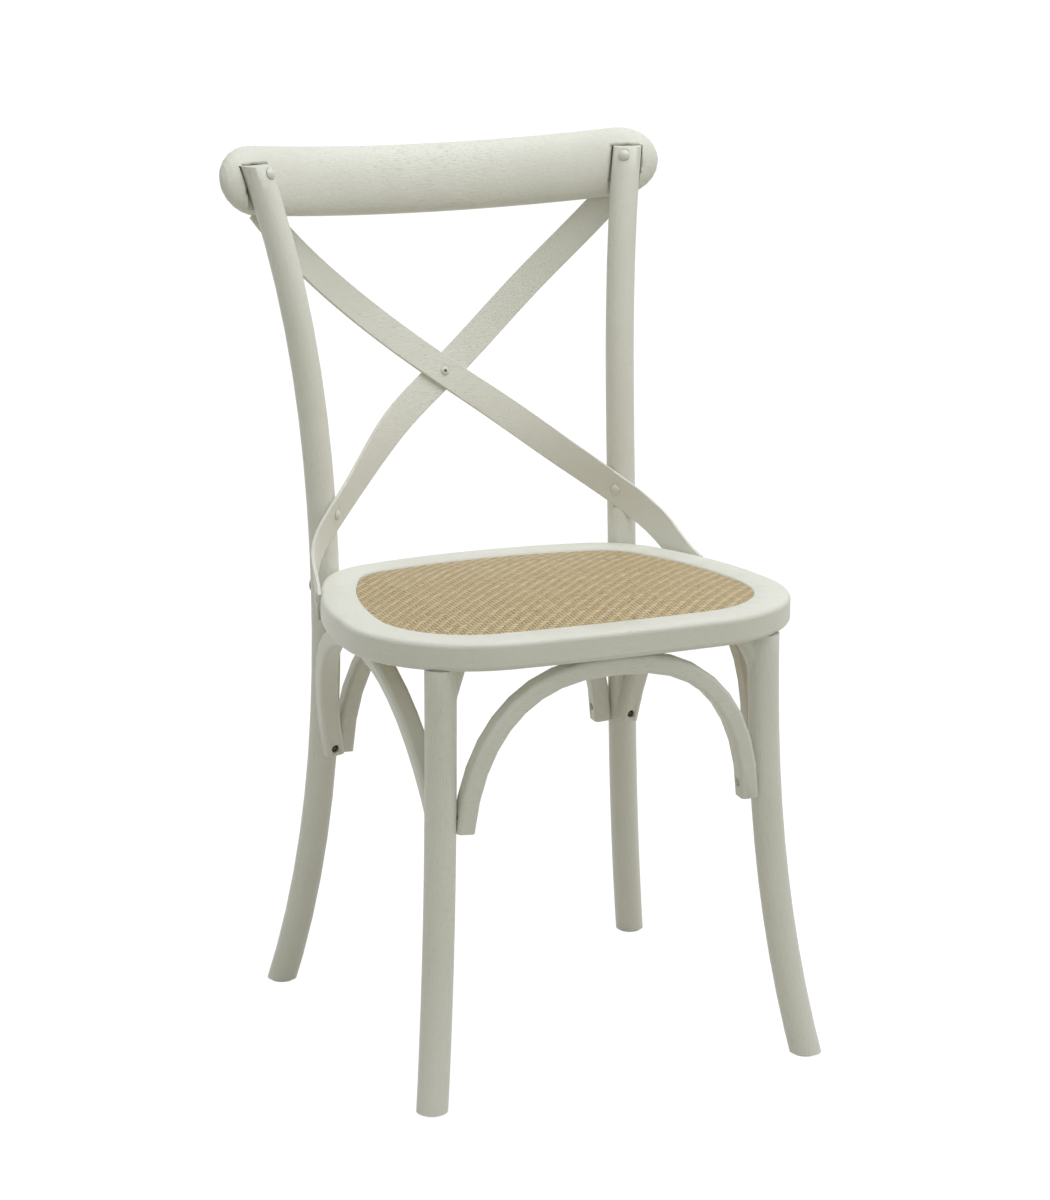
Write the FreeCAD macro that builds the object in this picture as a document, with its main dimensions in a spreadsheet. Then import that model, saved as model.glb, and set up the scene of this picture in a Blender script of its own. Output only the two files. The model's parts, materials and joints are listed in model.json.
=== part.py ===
import FreeCAD, Part
import math
import os
import Sketcher
from FreeCAD import Placement, Rotation, Vector

# Cross back dining chair: bentwood legs and posts, a woven seat in a bent frame, and a crossed back.
# X points to the chair's right as one looks at its front, Y to the back, Z up; the floor is at zero.

doc = FreeCAD.newDocument("cross_back_chair")
sheet = doc.addObject("Spreadsheet::Sheet", "Sizes")

SIZES = {
    # Seat frame, seen from above: five tangent arcs on each side
    "seat_height": 456.5,
    "frame_thickness": 28.0,
    "frame_band": 46.0,
    "frame_edge_radius": 5.5,
    "seat_width": 467.0,
    "seat_widest_y": -114.3,
    "seat_front_y": -241.4,
    "seat_rear_y": 137.0,
    "front_bow_radius": 2500.0,
    "front_corner_radius": 128.5,
    "side_bow_radius": 410.0,
    "rear_corner_radius": 92.0,
    "rear_bow_radius": 600.0,
    # Woven panel in its rebate
    "rebate_width": 10.0,
    "rebate_depth": 12.0,
    "board_thickness": 8.0,
    "cover_thickness": 2.0,
    "cover_edge_drop": 1.5,
    "cover_crown": 9.5,
    "panel_gap": 0.6,
    # Front legs
    "leg_diameter": 31.0,
    "leg_head_x": 172.6,
    "leg_head_y": -202.5,
    "leg_foot_spread": 56.0,
    "leg_spread_angle": 57.1,
    "leg_bend_power": 2.4,
    "leg_haunch_reach": 19.5,
    "leg_haunch_height": 45.0,
    "leg_haunch_knee_reach": 3.5,
    "leg_haunch_knee_height": 29.0,
    "leg_haunch_angle": 31.0,
    "leg_haunch_inset": 1.5,
    "leg_tenon_diameter": 22.0,
    "leg_tenon_length": 20.0,
    "leg_tenon_root": 5.0,
    # Rear posts: waist at the seat, splayed foot below, swept back above
    "post_diameter": 29.8,
    "post_height": 867.0,
    "post_waist_height": 430.0,
    "post_waist_x": 168.3,
    "post_waist_y": 118.5,
    "post_foot_out": 36.3,
    "post_foot_back": 52.1,
    "post_foot_power": 2.4,
    "post_head_start": 380.0,
    "post_head_out": 41.3,
    "post_head_back": 81.0,
    "post_out_power": 2.95,
    "post_back_power": 2.0,
    # Crest rail: an oval bar bent to an arc that leans with the posts
    "rail_length": 490.5,
    "rail_height": 73.0,
    "rail_depth": 34.0,
    "rail_bow": 47.6,
    "rail_lean_angle": 19.0,
    "rail_middle_y": 244.9,
    "rail_middle_height": 835.2,
    "rail_end_length": 40.0,
    "rail_notch_play": 3.0,
    "rail_notch_angle": 20.0,
    "post_top": 863.5,
    # Crossed strips of the back
    "slat_width": 31.2,
    "slat_thickness": 4.0,
    "slat_tenon_length": 14.0,
    "cross_height": 634.6,
    "cross_y": 206.5,
    "cross_lean_angle": 22.0,
    "slat_post_height": 512.9,
    "slat_flat_depth": 1.0,
    "post_flat_depth": 1.0,
    "slat_top_x": 194.2,
    "slat_top_y": 213.5,
    "slat_top_height": 808.5,
    "slat_bow_x": 111.5,
    "slat_bow_y": 229.5,
    "slat_bow_height": 726.0,
    "slat_mid_x": 55.8,
    "slat_mid_y": 187.8,
    "slat_mid_height": 595.0,
    "slat_low_x": 111.5,
    "slat_low_y": 150.0,
    "slat_low_height": 550.4,
    "slat_turn_x": 194.0,
    "slat_turn_y": 80.0,
    "slat_turn_height": 476.5,
    "slat_post_angle": 45.0,
    "slat_seat_angle": 19.6,
    "slat_seat_height": 441.0,
    "slat_seat_wrap": 2.6,
    "slat_seat_rise": 9.0,
    "slat_seat_recess": 0.8,
    "slat_edge_bevel": 0.7,
    "cross_gap": 0.6,
    "cross_seating": 0.3,
    # Arched braces
    "brace_thickness": 19.0,
    "brace_width": 20.0,
    "brace_edge_radius": 5.0,
    "front_brace_foot_height": 266.0,
    "rear_brace_foot_height": 258.5,
    "side_brace_foot_height": 263.0,
    "side_brace_front_power": 2.2,
    "brace_spring_height": 222.0,
    "brace_arch_power": 2.5,
    "brace_seating": 0.8,
    "leg_scribe": 3.5,
    "rear_post_scribe": 1.5,
    "side_post_scribe": 5.0,
    "brace_foot_draw": 1.0,
    "brace_crown_draw": 0.4,
    "front_brace_y": -210.0,
    "front_brace_lean": 5.0,
    "rear_brace_y": 128.0,
    "rear_brace_lean": 2.5,
    "side_brace_x": 167.6,
    "side_brace_lean": 9.5,
    # Hardware
    "rail_bolt_head": 12.0,
    "rail_bolt_head_height": 4.2,
    "rail_bolt_shank": 5.0,
    "rail_bolt_length": 42.0,
    "rail_bolt_angle": 36.0,
    "rail_bolt_drop": 14.0,
    "head_seating": 1.2,
    "cross_bolt_head": 9.0,
    "cross_bolt_head_height": 2.6,
    "cross_bolt_shank": 4.0,
    "cross_bolt_length": 14.0,
    "cross_nut_flats": 8.0,
    "cross_nut_height": 3.2,
    "slat_screw_head": 11.0,
    "slat_screw_head_height": 3.0,
    "slat_screw_shank": 4.0,
    "slat_screw_length": 26.0,
    "slat_screw_setback": 14.0,
    "slat_screw_seating": 0.5,
    "seat_bolt_head": 15.0,
    "seat_bolt_head_height": 4.0,
    "seat_bolt_shank": 6.0,
    "seat_bolt_length": 84.0,
    "seat_bolt_height": 438.0,
    "seat_nut_flats": 10.0,
    "seat_nut_height": 5.0,
    "brace_screw_head": 8.0,
    "brace_screw_head_height": 3.0,
    "brace_screw_recess": 1.2,
    "brace_screw_shank": 4.0,
    "brace_screw_length": 28.0,
    "brace_screw_rise": 15.0,
    "side_brace_screw_rise": 7.0,
    "crown_screw_spacing": 36.0,
    "crown_screw_head": 8.0,
    "crown_screw_head_height": 1.6,
    "crown_screw_length": 32.0,
    "board_screw_x": 74.0,
    "board_screw_head": 7.5,
    "board_screw_head_height": 1.5,
    "board_screw_shank": 3.5,
    "board_screw_length": 22.5,
    "glide_diameter": 24.0,
    "glide_thickness": 2.0,
    "glide_nail_diameter": 2.4,
    "glide_nail_length": 14.0,
    # Clearances
    "fit_gap": 0.25,
}
for row, (alias, number) in enumerate(SIZES.items(), start=1):
    sheet.set(f"A{row}", alias)
    sheet.set(f"B{row}", str(number))
    sheet.setAlias(f"B{row}", alias)
doc.recompute()


def size(alias):
    return float(sheet.get(alias))


SIDES = {"left": -1.0, "right": 1.0}
UP = Vector(0, 0, 1)
underside = size("seat_height") - size("frame_thickness")


# Small helpers for the document

def add(kind, name, **properties):
    thing = doc.addObject(kind, name)
    for key, setting in properties.items():
        if isinstance(setting, str):
            thing.setExpression(key, setting)
        else:
            setattr(thing, key, setting)
    return thing


def shape_feature(name, shape):
    thing = doc.addObject("Part::Feature", name)
    thing.Shape = shape
    return thing


def facing(direction):
    """Turn that carries the Z axis onto a direction."""
    return Rotation(UP, Vector(direction).normalize())


def frame_of(origin, along, across):
    """Placement whose Z runs along one direction and whose X lies closest to another."""
    axis_z = Vector(along).normalize()
    axis_y = axis_z.cross(Vector(across)).normalize()
    axis_x = axis_y.cross(axis_z)
    return Placement(Vector(origin), Rotation(axis_x, axis_y, axis_z, "ZXY"))


def body_plane(body, role):
    return next(item for item in body.Origin.OriginFeatures if item.Role == role)


def new_sketch(body, name, role="XY_Plane", offset=None):
    sketch = body.newObject("Sketcher::SketchObject", name)
    sketch.AttachmentSupport = (body_plane(body, role), [""])
    sketch.MapMode = "FlatFace"
    if offset is not None:
        sketch.AttachmentOffset = offset
    return sketch


def constrain(sketch, name, expression, kind, *refs):
    index = sketch.addConstraint(Sketcher.Constraint(kind, *refs))
    sketch.renameConstraint(index, name)
    sketch.setExpression(f"Constraints.{name}", expression)


# Curves that the bent parts follow

def post_centre(height, side):
    """Centre of a rear post at a height: it bends out and back below its waist and above the seat."""
    low = max(size("post_waist_height") - height, 0) / size("post_waist_height")
    high = max(height - size("post_head_start"), 0) / (size("post_height") - size("post_head_start"))
    out = size("post_foot_out") * low ** size("post_foot_power")
    out += size("post_head_out") * high ** size("post_out_power")
    back = size("post_foot_back") * low ** size("post_foot_power")
    back += size("post_head_back") * high ** size("post_back_power")
    return Vector(side * (size("post_waist_x") + out), size("post_waist_y") + back, height)


def post_direction(height, side):
    step = 1.0
    return (post_centre(height + step, side) - post_centre(height - step, side)).normalize()


def leg_centre(height, side):
    """Centre of a front leg at a height: it leaves the seat upright and bends out to the foot."""
    reach = max(underside - height, 0) / underside
    spread = size("leg_foot_spread") * reach ** size("leg_bend_power")
    angle = math.radians(size("leg_spread_angle"))
    return Vector(side * (size("leg_head_x") + spread * math.cos(angle)),
                  size("leg_head_y") - spread * math.sin(angle), height)


def stations(low, high, count):
    return [low + (high - low) * step / (count - 1) for step in range(count)]


def round_stick(name, line_points, diameter, grow="0"):
    """Round stick of one diameter that follows the points in short straight runs."""
    line = add("Part::Polygon", f"{name}_line", Nodes=line_points)
    ring = add("Part::Circle", f"{name}_ring", Radius=f"Sizes.{diameter} / 2 + {grow}")
    ring.Placement = Placement(line_points[0], facing(line_points[1] - line_points[0]))
    runs = [f"Edge{number}" for number in range(1, len(line_points))]
    stick = add("Part::Sweep", name, Sections=[ring], Spine=(line, runs), Solid=True, Frenet=False)
    stick.Transition = "Right corner"
    return stick


def fused(name, *things):
    return add("Part::MultiFuse", name, Shapes=list(things))


# Rear posts and front legs, cut level at the floor; the legs' heads widen towards the seat's middle

END_EXTENSION = 12.0
crown_plane = add("Part::Box", "crown_plane", Length="2 * Sizes.seat_width", Width="2 * Sizes.seat_width",
                  Height="Sizes.frame_thickness")
crown_plane.Placement = Placement(Vector(-size("seat_width"), -size("seat_width"), underside), Rotation())


def haunch(name, side):
    """Wedge at a leg's head that reaches towards the middle of the seat."""
    turn = math.radians(size("leg_haunch_angle"))
    inwards = Vector(-side * math.cos(turn), math.sin(turn), 0)
    knee, reach = size("leg_haunch_knee_reach"), size("leg_haunch_reach")
    slope = (reach - knee) / size("leg_haunch_knee_height")
    rings = []
    for drop, out in ((size("leg_haunch_height"), 0), (size("leg_haunch_knee_height"), knee), (0, reach),
                      (-END_EXTENSION, reach + slope * END_EXTENSION)):
        ring = add("Part::Circle", f"{name}_ring_{len(rings)}",
                   Radius="Sizes.leg_diameter / 2 - Sizes.leg_haunch_inset")
        ring.Placement = Placement(leg_centre(underside - drop, side) + inwards * out, Rotation())
        rings.append(ring)
    return add("Part::Loft", name, Sections=rings, Solid=True, Ruled=True)


post_blanks, post_housings, leg_blanks, leg_housings = {}, {}, {}, {}
for side_name, side in SIDES.items():
    centres = [post_centre(height, side)
               for height in stations(-END_EXTENSION, size("post_height") + END_EXTENSION, 21)]
    post_blanks[side] = round_stick(f"post_blank_{side_name}", centres, "post_diameter")
    post_housings[side] = round_stick(f"post_housing_{side_name}", centres, "post_diameter", "Sizes.fit_gap")
    centres = [leg_centre(height, side) for height in stations(-END_EXTENSION, underside + END_EXTENSION, 13)]
    stick = round_stick(f"leg_stick_{side_name}", centres, "leg_diameter")
    leg_housings[side] = round_stick(f"leg_housing_{side_name}", centres, "leg_diameter", "Sizes.fit_gap")
    widened = fused(f"leg_widened_{side_name}", stick, haunch(f"leg_haunch_{side_name}", side))
    headed = add("Part::Cut", f"leg_headed_{side_name}", Base=widened, Tool=crown_plane)
    tenon = add("Part::Cylinder", f"leg_tenon_{side_name}", Radius="Sizes.leg_tenon_diameter / 2",
                Height="Sizes.leg_tenon_length + Sizes.leg_tenon_root")
    tenon.Placement = Placement(leg_centre(underside, side) - UP * size("leg_tenon_root"), Rotation())
    leg_blanks[side] = fused(f"leg_blank_{side_name}", headed, tenon)
doc.recompute()


# Seat frame outline: front bow, front corners, side bows, rear corners and rear bow

def outline_arcs(inset):
    """Centre, radius and start and end angles of the outline's eight arcs, counter-clockwise."""
    front = Vector(0, size("seat_front_y") + size("front_bow_radius"), 0)
    rear = Vector(0, size("seat_rear_y") - size("rear_bow_radius"), 0)
    flank = Vector(size("seat_width") / 2 - size("side_bow_radius"), size("seat_widest_y"), 0)

    def corner_centre(bow, bow_radius, corner_radius):
        """Centre of the corner arc that touches a bow and the side bow from inside."""
        near = bow_radius - corner_radius
        far = size("side_bow_radius") - corner_radius
        gap = flank - bow
        along = (near ** 2 - far ** 2 + gap.Length ** 2) / (2 * gap.Length)
        rise = math.sqrt(near ** 2 - along ** 2)
        foot_point = bow + gap * (along / gap.Length)
        normal = Vector(-gap.y, gap.x, 0) * (rise / gap.Length)
        return max((foot_point + normal, foot_point - normal), key=lambda point: point.x)

    def heading(origin, target):
        return math.atan2(target.y - origin.y, target.x - origin.x)

    front_corner = corner_centre(front, size("front_bow_radius"), size("front_corner_radius"))
    rear_corner = corner_centre(rear, size("rear_bow_radius"), size("rear_corner_radius"))
    turns = [heading(front, front_corner), heading(flank, front_corner),
             heading(flank, rear_corner), heading(rear, rear_corner)]

    def mirrored(point):
        return Vector(-point.x, point.y, point.z)

    def opposite(angle):
        return math.pi - angle

    radii = {key: size(key) - inset for key in ("front_bow_radius", "front_corner_radius",
                                                "side_bow_radius", "rear_corner_radius",
                                                "rear_bow_radius")}
    return [
        ("front_bow_radius", front, opposite(turns[0]) - 2 * math.pi, turns[0]),
        ("front_corner_radius", front_corner, turns[0], turns[1]),
        ("side_bow_radius", flank, turns[1], turns[2]),
        ("rear_corner_radius", rear_corner, turns[2], turns[3]),
        ("rear_bow_radius", rear, turns[3], opposite(turns[3])),
        ("rear_corner_radius", mirrored(rear_corner), opposite(turns[3]), opposite(turns[2])),
        ("side_bow_radius", mirrored(flank), opposite(turns[2]), opposite(turns[1])),
        ("front_corner_radius", mirrored(front_corner), opposite(turns[1]), opposite(turns[0])),
    ], radii


def outline_sketch(body, name, inset, inset_formula, height):
    """Closed outline of the seat, set in by a distance, as a sketch bound to the sizes."""
    sketch = new_sketch(body, name, offset=Placement(Vector(0, 0, height), Rotation()))
    arcs, radii = outline_arcs(inset)
    for alias, centre, start, end in arcs:
        circle = Part.Circle(centre, UP, radii[alias])
        sketch.addGeometry(Part.ArcOfCircle(circle, start, end), False)
    for index in range(len(arcs)):
        following = (index + 1) % len(arcs)
        sketch.addConstraint(Sketcher.Constraint("Tangent", index, 2, following, 1))
    for index, (alias, centre, start, end) in enumerate(arcs):
        constrain(sketch, f"radius_{index}", f"Sizes.{alias} - ({inset_formula})", "Radius", index,
                  radii[alias])
    axis, origin = -2, -1
    for index in (0, 4):
        sketch.addConstraint(Sketcher.Constraint("PointOnObject", index, 3, axis))
    constrain(sketch, "front_centre", "Sizes.seat_front_y + Sizes.front_bow_radius",
              "DistanceY", origin, 1, 0, 3, arcs[0][1].y)
    constrain(sketch, "rear_centre", "Sizes.rear_bow_radius - Sizes.seat_rear_y",
              "DistanceY", 4, 3, origin, 1, -arcs[4][1].y)
    for index, first, second in ((2, (2, 3), (origin, 1)), (6, (origin, 1), (6, 3))):
        constrain(sketch, f"flank_x_{index}", "Sizes.side_bow_radius - Sizes.seat_width / 2",
                  "DistanceX", *first, *second, abs(arcs[index][1].x))
        constrain(sketch, f"flank_y_{index}", "-Sizes.seat_widest_y",
                  "DistanceY", index, 3, origin, 1, -arcs[index][1].y)
    return sketch


def outline_wire(inset, height, scale=1.0, centre_y=0.0):
    """The same outline as a wire, drawn smaller about a centre for the crown of the seat."""
    arcs, radii = outline_arcs(inset)
    edges = []
    for alias, centre, start, end in arcs:
        middle = Vector(scale * centre.x, centre_y + scale * (centre.y - centre_y), height)
        circle = Part.Circle(middle, UP, scale * radii[alias])
        edges.append(Part.ArcOfCircle(circle, start, end).toShape())
    return Part.Wire(edges)


def flat_edges(shape, height):
    """Names of the edges that lie at one height."""
    return [f"Edge{number}" for number, edge in enumerate(shape.Edges, start=1)
            if abs(edge.BoundBox.ZMin - height) < 1e-4 and abs(edge.BoundBox.ZMax - height) < 1e-4]


opening_inset = size("frame_band") - size("rebate_width")

ring_body = doc.addObject("PartDesign::Body", "ring_body")
ring_pad = ring_body.newObject("PartDesign::Pad", "ring_pad")
ring_pad.Profile = outline_sketch(ring_body, "ring_outline", 0.0, "0", 0.0)
ring_pad.setExpression("Length", "Sizes.frame_thickness")
doc.recompute()
edge_names = flat_edges(ring_pad.Shape, 0.0) + flat_edges(ring_pad.Shape, size("frame_thickness"))
ring_round = ring_body.newObject("PartDesign::Fillet", "ring_round")
ring_round.Base = (ring_pad, edge_names)
ring_round.setExpression("Radius", "Sizes.frame_edge_radius")
doc.recompute()
rebate = ring_body.newObject("PartDesign::Pocket", "rebate")
rebate.Profile = outline_sketch(ring_body, "rebate_outline", opening_inset,
                                "Sizes.frame_band - Sizes.rebate_width", size("frame_thickness"))
rebate.setExpression("Length", "Sizes.rebate_depth")
well = ring_body.newObject("PartDesign::Pocket", "well")
well.Profile = outline_sketch(ring_body, "well_outline", size("frame_band"), "Sizes.frame_band",
                              size("frame_thickness"))
well.setExpression("Length", "Sizes.frame_thickness + 1")
doc.recompute()
ring_body.setExpression("Placement.Base.z", "Sizes.seat_height - Sizes.frame_thickness")

# Woven panel: board, crowned filling, and the cover that wraps both

board_inset = opening_inset + size("panel_gap") + size("cover_thickness") + size("fit_gap")
board_base = size("seat_height") - size("rebate_depth")
board_body = doc.addObject("PartDesign::Body", "board_body")
board_pad = board_body.newObject("PartDesign::Pad", "board_pad")
board_pad.Profile = outline_sketch(
    board_body, "board_outline", board_inset,
    "Sizes.frame_band - Sizes.rebate_width + Sizes.panel_gap + Sizes.cover_thickness + Sizes.fit_gap", 0.0)
board_pad.setExpression("Length", "Sizes.board_thickness")
board_body.setExpression("Placement.Base.z", "Sizes.seat_height - Sizes.rebate_depth")

CROWN_STEPS = (1.0, 0.86, 0.65, 0.4, 0.12)
CROWN_POWER = 2.4
crown_centre_y = (size("seat_front_y") + size("seat_rear_y")) / 2


def crown(inset, base, low, rise):
    """Block with the panel's outline, flat below and crowned above."""
    wires = [outline_wire(inset, low + rise * (1 - step ** CROWN_POWER), step, crown_centre_y)
             for step in CROWN_STEPS]
    dome = Part.makeLoft(wires, True, True)
    if low == base:
        return dome
    return Part.Face(outline_wire(inset, base)).extrude(Vector(0, 0, low - base)).fuse(dome)


cover_low = size("seat_height") - size("cover_edge_drop")
cover_block = shape_feature("cover_block", crown(opening_inset + size("panel_gap"), board_base, cover_low,
                                                 size("cover_crown")))
filling_top = board_base + size("board_thickness")
filling_drop = size("cover_thickness") + size("fit_gap")
filling_block = shape_feature("filling_block", crown(board_inset, filling_top, filling_top,
                                                     cover_low + size("cover_crown") - filling_drop
                                                     - filling_top))
hollow_block = shape_feature("hollow_block", crown(board_inset - size("fit_gap"), board_base, filling_top,
                                                   cover_low + size("cover_crown")
                                                   - size("cover_thickness") - filling_top))
doc.recompute()

# Crest rail: an oval bar bent to an arc that leans back with the posts, with bullet ends

rail_half = size("rail_length") / 2
rail_radius = (rail_half ** 2 + size("rail_bow") ** 2) / (2 * size("rail_bow"))
rail_place = Placement(Vector(0, size("rail_middle_y"), size("rail_middle_height")),
                       Rotation(Vector(1, 0, 0), -size("rail_lean_angle")))
rail_tall = rail_place.Rotation.multVec(UP)


def rail_point(across):
    """Point on the rail's bent line at a distance to the right of the middle."""
    angle = math.asin(across / rail_radius)
    return rail_place.multVec(Vector(across, rail_radius * (math.cos(angle) - 1), 0))


def rail_run(across):
    """Direction of the rail's bent line there, to the right."""
    angle = math.asin(across / rail_radius)
    return rail_place.Rotation.multVec(Vector(math.cos(angle), -math.sin(angle), 0))


END_STEPS = (0.12, 0.4, 0.6, 0.77, 0.9, 0.97, 1.0)
rail_sections = []
for step in END_STEPS:
    inset = size("rail_end_length") * (1 - math.sqrt(1 - step ** 2))
    rail_sections.append((rail_half - inset, step))
rail_sections += [(across, 1.0) for across in stations(rail_half - size("rail_end_length"), 0, 9)[1:]]
rail_sections = [(-across, step) for across, step in rail_sections] + rail_sections[-2::-1]
ovals = []
for number, (across, step) in enumerate(rail_sections):
    oval = add("Part::Ellipse", f"rail_oval_{number}", MajorRadius=f"Sizes.rail_height / 2 * {step}",
               MinorRadius=f"Sizes.rail_depth / 2 * {step}")
    oval.Placement = frame_of(rail_point(across), rail_run(across), rail_tall)
    ovals.append(oval)
rail_blank = add("Part::Loft", "rail_blank", Sections=ovals, Solid=True, Ruled=True)
doc.recompute()

# Notches that take the post tops: flat floor and sides, and a level shelf over the post


def notch_frame(side, angle_alias):
    """Frame at the centre of a post's top: Z up the post, Y back into the rail."""
    angle = math.radians(size(angle_alias))
    run = post_direction(size("post_top"), side)
    back = Vector(side * math.sin(angle), math.cos(angle), 0)
    return frame_of(post_centre(size("post_top"), side), run, Vector(back.y, -back.x, 0))


above_posts = add("Part::Box", "above_posts", Length="2 * Sizes.rail_length", Width="2 * Sizes.rail_length",
                  Height="Sizes.rail_height")
above_posts.Placement = Placement(Vector(-size("rail_length"), -size("rail_length"), size("post_top")), Rotation())
above_shelf = add("Part::Box", "above_shelf", Length="2 * Sizes.rail_length", Width="2 * Sizes.rail_length",
                  Height="Sizes.rail_height")
above_shelf.Placement = Placement(above_posts.Placement.Base + UP * size("fit_gap"), Rotation())
notches, post_flats = [], {}
for side_name, side in SIDES.items():
    here = notch_frame(side, "rail_notch_angle")
    slot = add("Part::Box", f"rail_slot_{side_name}", Length="Sizes.post_diameter + Sizes.rail_notch_play",
               Width="Sizes.post_diameter * 1.5 - Sizes.post_flat_depth", Height="3 * Sizes.rail_height")
    corner = Vector(-(size("post_diameter") + size("rail_notch_play")) / 2, -size("post_diameter"),
                    -2 * size("rail_height"))
    slot.Placement = here.multiply(Placement(corner, Rotation()))
    notches.append(add("Part::Cut", f"rail_notch_{side_name}", Base=slot, Tool=above_shelf))
    flat = add("Part::Box", f"post_flat_{side_name}", Length="Sizes.post_diameter",
               Width="Sizes.post_diameter", Height="3 * Sizes.rail_height")
    depth = size("post_diameter") / 2 - size("post_flat_depth") - size("fit_gap")
    corner = Vector(-size("post_diameter") / 2, depth, -size("rail_height"))
    flat.Placement = here.multiply(Placement(corner, Rotation()))
    post_flats[side] = flat

# Crossed strips: each runs from the crest rail, behind one post, across the back, in front of the
# other post and down onto the side of the seat frame


def seat_side_point(angle, outside):
    """Point beside the seat frame's right side, at an angle about the side bow's centre."""
    reach = size("side_bow_radius") + outside
    return Vector(size("seat_width") / 2 - size("side_bow_radius") + reach * math.cos(angle),
                  size("seat_widest_y") + reach * math.sin(angle), 0)


cross_centre = Vector(0, size("cross_y"), size("cross_height"))
cross_lean = math.radians(size("cross_lean_angle"))
cross_face = Vector(0, -math.cos(cross_lean), math.sin(cross_lean))


def slat_path(layer):
    """Points of one strip's middle line and the way its face looks at each of them."""
    angle = math.radians(size("slat_seat_angle"))
    beside = size("slat_thickness") / 2 - size("slat_seat_recess")
    end = seat_side_point(angle, beside)
    before = seat_side_point(angle + math.radians(size("slat_seat_wrap")), beside + 1.0)
    seat_face = Vector(-math.cos(angle), -math.sin(angle), 0)
    turn = math.radians(size("slat_post_angle"))
    post_face = Vector(-math.sin(turn), -math.cos(turn), 0)
    height = size("slat_post_height")
    reach = size("post_diameter") / 2 + size("slat_thickness") / 2 - size("slat_flat_depth")
    at_post = post_centre(height, 1.0) + post_face * reach
    crossing = cross_centre + cross_face * layer
    top_face = Vector(0.28, -0.90, 0.33)
    entry = Vector(-size("slat_top_x"), size("slat_top_y"), size("slat_top_height"))
    bow = Vector(-size("slat_bow_x"), size("slat_bow_y"), size("slat_bow_height"))
    tip = entry + Vector(-0.62, -0.22, 0.75).normalize() * size("slat_tenon_length")
    turn_in = Vector(size("slat_turn_x"), size("slat_turn_y"), size("slat_turn_height"))
    end.z = size("slat_seat_height")
    before.z = end.z + size("slat_seat_rise")
    low_side = Vector(size("slat_low_x"), size("slat_low_y"), size("slat_low_height"))
    mid_side = Vector(size("slat_mid_x"), size("slat_mid_y"), size("slat_mid_height"))
    points = [tip, entry, bow, crossing, mid_side, low_side, at_post, turn_in, before, end]
    faces = {0: top_face, 3: cross_face, 6: post_face, 9: seat_face}
    return points, faces


def strip(points, faces, grow=0.0, tail=0.0):
    """Flat strip along the points, its broad side turned to the given directions."""
    curve = Part.BSplineCurve()
    curve.interpolate(points)
    knots = [curve.parameter(point) for point in points]
    low, high = knots[0], knots[-1]
    half_width = size("slat_width") / 2 + grow
    half_thick = size("slat_thickness") / 2 + grow
    bevel = size("slat_edge_bevel")
    corners = [(half_width - bevel, half_thick), (half_width, half_thick - bevel)]
    corners += [(half_width, bevel - half_thick), (half_width - bevel, -half_thick)]
    corners += [(-across, -through) for across, through in corners]
    wires = []
    for share in stations(0.0, 1.0, STRIP_SECTIONS):
        where = low + (high - low) * share
        behind, ahead = next(pair for pair in zip(list(faces), list(faces)[1:])
                             if where <= knots[pair[1]] + 1e-9)
        blend = (where - knots[behind]) / (knots[ahead] - knots[behind])
        blend = blend * blend * (3 - 2 * blend)
        along = curve.tangent(where)[0]
        face = faces[behind] * (1 - blend) + faces[ahead] * blend
        face = (face - along * face.dot(along)).normalize()
        across = along.cross(face)
        centre = curve.value(where)
        if share == 1.0:
            centre = centre + along * tail
        wires.append(Part.makePolygon([centre + across * a + face * b
                                       for a, b in corners + corners[:1]]))
    return Part.makeLoft(wires, True, True)


STRIP_SECTIONS = 41


def mirrored(name, source):
    return add("Part::Mirroring", name, Source=source, Normal=Vector(1, 0, 0), Base=Vector(0, 0, 0))


layer_step = size("slat_thickness") / 2 + size("cross_gap") / 2
slat_solids, slat_housings = {}, {}
for name, layer in (("front", layer_step), ("rear", -layer_step)):
    points, faces = slat_path(layer)
    slat_solids[name] = shape_feature(f"slat_blank_{name}", strip(points, faces))
    slat_housings[name] = shape_feature(f"slat_housing_{name}", strip(points, faces, size("fit_gap"), 1.0))
slat_solids["rear"] = mirrored("slat_blank_rear_mirrored", slat_solids["rear"])
slat_housings["rear"] = mirrored("slat_housing_rear_mirrored", slat_housings["rear"])
doc.recompute()

# Arched braces: a bent square bar on edge, its crown planed flat against the seat frame


def brace_blank(name, half_span, lean, place, powers):
    """Bent bar in its own plane: X along the span, Y up, leaning about its feet."""
    tilt = math.cos(math.radians(lean))
    centre_half = half_span - size("brace_thickness") / 2
    spring = (size("brace_spring_height") - place.Base.z) / tilt
    crown_rise = (underside + size("brace_seating") - place.Base.z) / tilt \
        - size("brace_thickness") / 2 - spring
    first, last = (math.asin((-spring / crown_rise) ** (power / 2)) for power in powers)
    sections = []
    for number, angle in enumerate(stations(first, math.pi / 2, 10) + stations(math.pi / 2, math.pi - last, 10)[1:]):
        power = powers[0] if number < 10 else powers[1]
        across = math.copysign(abs(math.cos(angle)) ** (2 / power), math.cos(angle))
        rise = math.sin(angle) ** (2 / power)
        point = Vector(-centre_half * across, spring + crown_rise * rise, 0)
        slope = Vector(centre_half * rise ** (power - 1), crown_rise * math.copysign(
            abs(across) ** (power - 1), across), 0)
        section = doc.addObject("Sketcher::SketchObject", f"{name}_section_{number}")
        rounded_rectangle(section, "brace_thickness", "brace_width", "brace_edge_radius")
        level = Vector(slope.y, -slope.x, 0)
        section.Placement = place.multiply(frame_of(point, slope, level))
        sections.append(section)
    return add("Part::Loft", f"{name}_bar", Sections=sections, Solid=True, Ruled=True)


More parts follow.
